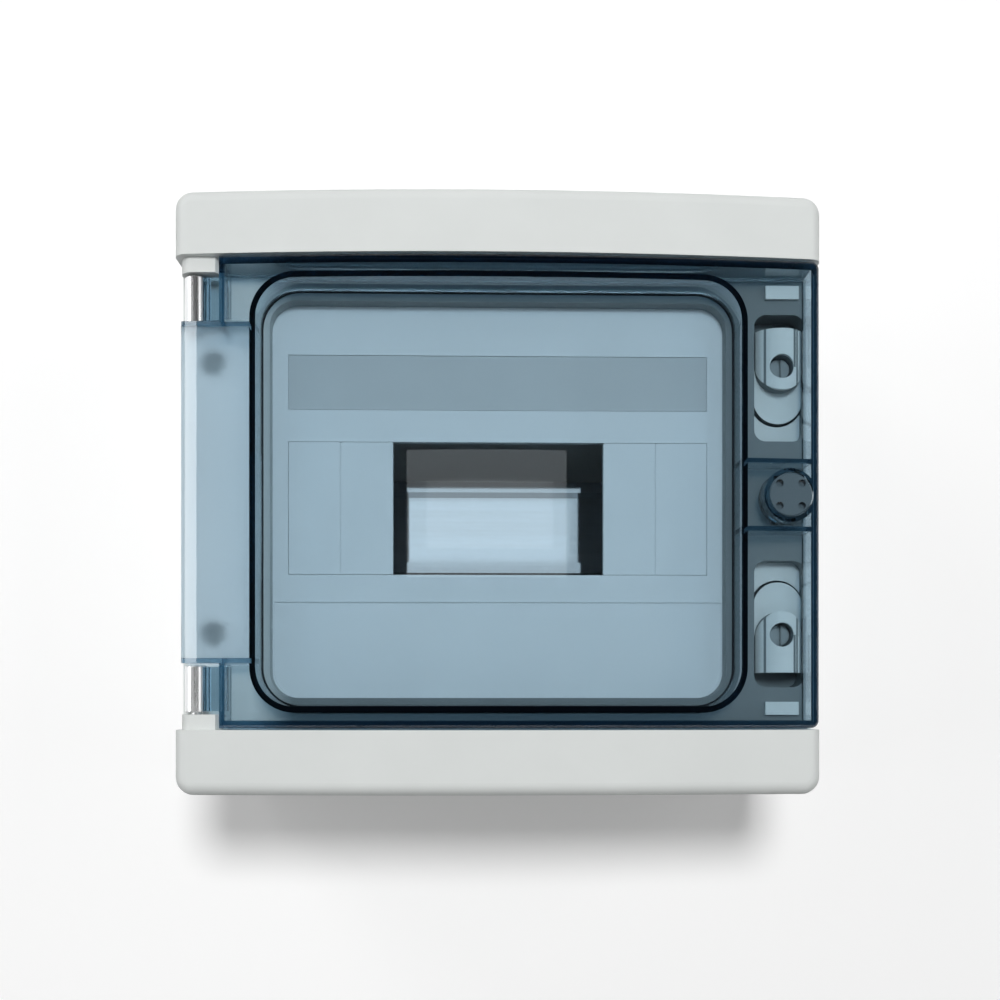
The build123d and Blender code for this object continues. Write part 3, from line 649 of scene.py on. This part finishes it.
class ENCLOSURE_OT_latch(PieceOperator, bpy.types.Operator):
    """Give the latch knob and the cover screws their plastics"""

    bl_idname = "enclosure.latch"
    bl_label = "Latch and cover screws"

    def execute(self, context):
        colours = context.scene.enclosure_colours
        finish_nodes(plain_plastic("knob_plastic", colours.knob, 0.2, 0.3), "latch_knob")
        screws = plain_plastic("screw_plastic", colours.screw, 0.35, 0.5)
        finish_nodes(screws, *[f"cover_screw_{corner}" for corner in CORNERS])
        return {"FINISHED"}


def named(stem):
    return [f"{stem}_{level}" for level in LEVELS]


# ---- stage ----


def background_rays(tree, path):
    """1 for rays that show the background: the camera's own, and those off metal and through glass."""
    shown = maths(tree, "MAXIMUM", path.outputs["Is Camera Ray"], path.outputs["Is Glossy Ray"])
    return maths(tree, "MAXIMUM", shown, path.outputs["Is Transmission Ray"])


def backdrop_material():
    """White from the front, open from behind."""
    material = bpy.data.materials.new("backdrop_white")
    material.use_nodes = True
    tree = material.node_tree
    shader = tree.nodes["Principled BSDF"]
    shader.inputs["Base Color"].default_value = (0.92, 0.92, 0.92, 1)
    shader.inputs["Roughness"].default_value = 0.9
    shader.inputs["Specular IOR Level"].default_value = 0.0
    path = tree.nodes.new("ShaderNodeLightPath")
    glow = add_node(tree, "ShaderNodeEmission", sockets={"Strength": 0.16})
    dark = add_node(tree, "ShaderNodeEmission", sockets={"Strength": 0.0})
    own = tree.nodes.new("ShaderNodeMixShader")
    tree.links.new(background_rays(tree, path), own.inputs["Fac"])
    tree.links.new(dark.outputs["Emission"], own.inputs[1])
    tree.links.new(glow.outputs["Emission"], own.inputs[2])
    both = tree.nodes.new("ShaderNodeAddShader")
    tree.links.new(shader.outputs["BSDF"], both.inputs[0])
    tree.links.new(own.outputs["Shader"], both.inputs[1])
    side = tree.nodes.new("ShaderNodeNewGeometry")
    through = tree.nodes.new("ShaderNodeBsdfTransparent")
    mix = tree.nodes.new("ShaderNodeMixShader")
    passes = maths(tree, "MAXIMUM", path.outputs["Is Shadow Ray"], path.outputs["Is Diffuse Ray"])
    passes = maths(tree, "MAXIMUM", passes, side.outputs["Backfacing"])
    tree.links.new(passes, mix.inputs["Fac"])
    tree.links.new(both.outputs["Shader"], mix.inputs[1])
    tree.links.new(through.outputs["BSDF"], mix.inputs[2])
    tree.links.new(mix.outputs["Shader"], tree.nodes["Material Output"].inputs["Surface"])
    return material


def stage_sheet(name, corners, material):
    mesh = bpy.data.meshes.new(name)
    mesh.from_pydata(corners, [], [(0, 1, 2, 3)])
    mesh.materials.append(material)
    sheet = bpy.data.objects.new(name, mesh)
    bpy.context.collection.objects.link(sheet)
    return sheet


def aim(obj, target):
    obj.rotation_euler = (Vector(target) - obj.location).to_track_quat("-Z", "Y").to_euler()


def soft_light(name, place, target, size, strength):
    data = bpy.data.lights.new(name, "AREA")
    data.shape = "DISK"
    data.size = size
    data.energy = strength
    lamp = bpy.data.objects.new(name, data)
    bpy.context.collection.objects.link(lamp)
    lamp.location = place
    aim(lamp, target)
    return lamp


def studio_world(strength, dark_share):
    """A pale room, dark on the front side. It is white to the camera, and behind the box to metal and glass."""
    world = bpy.data.worlds.new("studio")
    bpy.context.scene.world = world
    world.use_nodes = True
    tree = world.node_tree
    lit = tree.nodes["Background"]
    place = tree.nodes.new("ShaderNodeTexCoord")
    parts = tree.nodes.new("ShaderNodeSeparateXYZ")
    tree.links.new(place.outputs["Generated"], parts.inputs["Vector"])
    level = ranged(tree, parts.outputs["Y"], -0.85, -0.5, strength * dark_share, strength)
    lit.inputs["Color"].default_value = (1, 1, 1, 1)
    tree.links.new(level, lit.inputs["Strength"])
    seen = add_node(tree, "ShaderNodeBackground", sockets={"Color": (1, 1, 1, 1)})
    path = tree.nodes.new("ShaderNodeLightPath")
    white = ranged(tree, parts.outputs["Y"], -0.85, -0.5, strength * dark_share, 1.0)
    tree.links.new(maths(tree, "MAXIMUM", white, path.outputs["Is Camera Ray"]), seen.inputs["Strength"])
    mix = tree.nodes.new("ShaderNodeMixShader")
    tree.links.new(background_rays(tree, path), mix.inputs["Fac"])
    tree.links.new(lit.outputs["Background"], mix.inputs[1])
    tree.links.new(seen.outputs["Background"], mix.inputs[2])
    tree.links.new(mix.outputs["Shader"], tree.nodes["World Output"].inputs["Surface"])


def add_camera(stage):
    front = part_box("door_shell")[0].y
    data = bpy.data.cameras.new("camera")
    data.lens = stage.lens
    data.shift_y = stage.shift
    camera = bpy.data.objects.new("camera", data)
    bpy.context.collection.objects.link(camera)
    reach = stage.distance
    camera.location = (-reach * math.sin(stage.turn), front - reach * math.cos(stage.turn), -stage.drop)
    camera.rotation_euler = (math.pi / 2, 0, -stage.turn)
    bpy.context.scene.camera = camera


class ENCLOSURE_OT_stage(bpy.types.Operator):
    """Build the pale floor and wall, the studio light and the camera"""

    bl_idname = "enclosure.stage"
    bl_label = "Stage"

    def execute(self, context):
        stage = context.scene.enclosure_stage
        context.scene.view_settings.view_transform = "Standard"
        low, high = cad_bounds
        white = backdrop_material()
        wall_y = high.y + 0.2 * MM
        floor_z = low.z - 0.16
        wall = [(-2, wall_y, floor_z), (2, wall_y, floor_z), (2, wall_y, 2), (-2, wall_y, 2)]
        stage_sheet("backdrop", wall, white)
        floor = [(-2, -3, floor_z), (2, -3, floor_z), (2, wall_y, floor_z), (-2, wall_y, floor_z)]
        stage_sheet("floor", floor, white)
        soft_light("key_light", (-1.1, -0.9, 1.1), (0, 0, 0), 0.8, stage.key)
        fill = soft_light("fill_light", (1.2, -1.1, 0.2), (0, 0, 0.1), 0.6, stage.fill)
        fill.data.shape = "RECTANGLE"
        fill.data.size_y = 1.2
        side = soft_light("side_light", (-1.2, -0.75, 0.05), (0, -0.05, 0.05), 0.3, stage.side)
        side.data.shape = "RECTANGLE"
        side.data.size_y = 1.0
        edge = soft_light("edge_light", (-0.605, -1.27, 0.2), (-0.1, -0.1, 0.2), 0.02, stage.edge)
        edge.data.shape = "RECTANGLE"
        edge.data.size_y = 0.7
        soft_light("back_light", (0.5, 1.3, 0.8), (0, 0, 0), 1.0, stage.back)
        front = soft_light("front_light", (0.05, -1.3, 0.3), (0, 0, 0), 0.3, stage.front)
        front.visible_glossy = False
        front.visible_transmission = False
        card = soft_light("front_card", (0, -1.2, 0.165), (0, 0, 0.165), 0.3, stage.card)
        card.data.shape = "RECTANGLE"
        card.data.size_y = 0.16
        rail_card = soft_light("rail_card", (0.006, -1.19, 0.1625), (0.006, 0, 0.1625), 0.235, stage.rail_card)
        rail_card.data.shape = "RECTANGLE"
        rail_card.data.size_y = 0.085
        studio_world(stage.room, stage.dark)
        add_camera(stage)
        return {"FINISHED"}


OPERATORS = (
    ENCLOSURE_OT_housing,
    ENCLOSURE_OT_seals,
    ENCLOSURE_OT_rail,
    ENCLOSURE_OT_terminals,
    ENCLOSURE_OT_door,
    ENCLOSURE_OT_hinges,
    ENCLOSURE_OT_latch,
    ENCLOSURE_OT_stage,
)


class ENCLOSURE_PT_panel(bpy.types.Panel):
    """Lists the enclosure's steps and settings"""

    bl_label = "Combiner enclosure"
    bl_space_type = "VIEW_3D"
    bl_region_type = "UI"
    bl_category = "Enclosure"

    def draw(self, context):
        for settings in (context.scene.enclosure_colours, context.scene.enclosure_sizes, context.scene.enclosure_stage):
            box = self.layout.box()
            for name in settings.bl_rna.properties.keys():
                if name not in ("rna_type", "name"):
                    box.prop(settings, name)
        for operator in OPERATORS:
            self.layout.operator(operator.bl_idname)


GROUPS = {
    "enclosure_colours": EnclosureColours,
    "enclosure_sizes": EnclosureSizes,
    "enclosure_stage": EnclosureStage,
}


def register():
    for name, group in GROUPS.items():
        bpy.utils.register_class(group)
        setattr(bpy.types.Scene, name, PointerProperty(type=group))
    for each in (*OPERATORS, ENCLOSURE_PT_panel):
        bpy.utils.register_class(each)


def unregister():
    for each in reversed((*OPERATORS, ENCLOSURE_PT_panel)):
        bpy.utils.unregister_class(each)
    for name, group in GROUPS.items():
        delattr(bpy.types.Scene, name)
        bpy.utils.unregister_class(group)


def main():
    register()
    for operator in OPERATORS:
        group, name = operator.bl_idname.split(".")
        getattr(getattr(bpy.ops, group), name)()


if __name__ == "__main__":
    main()
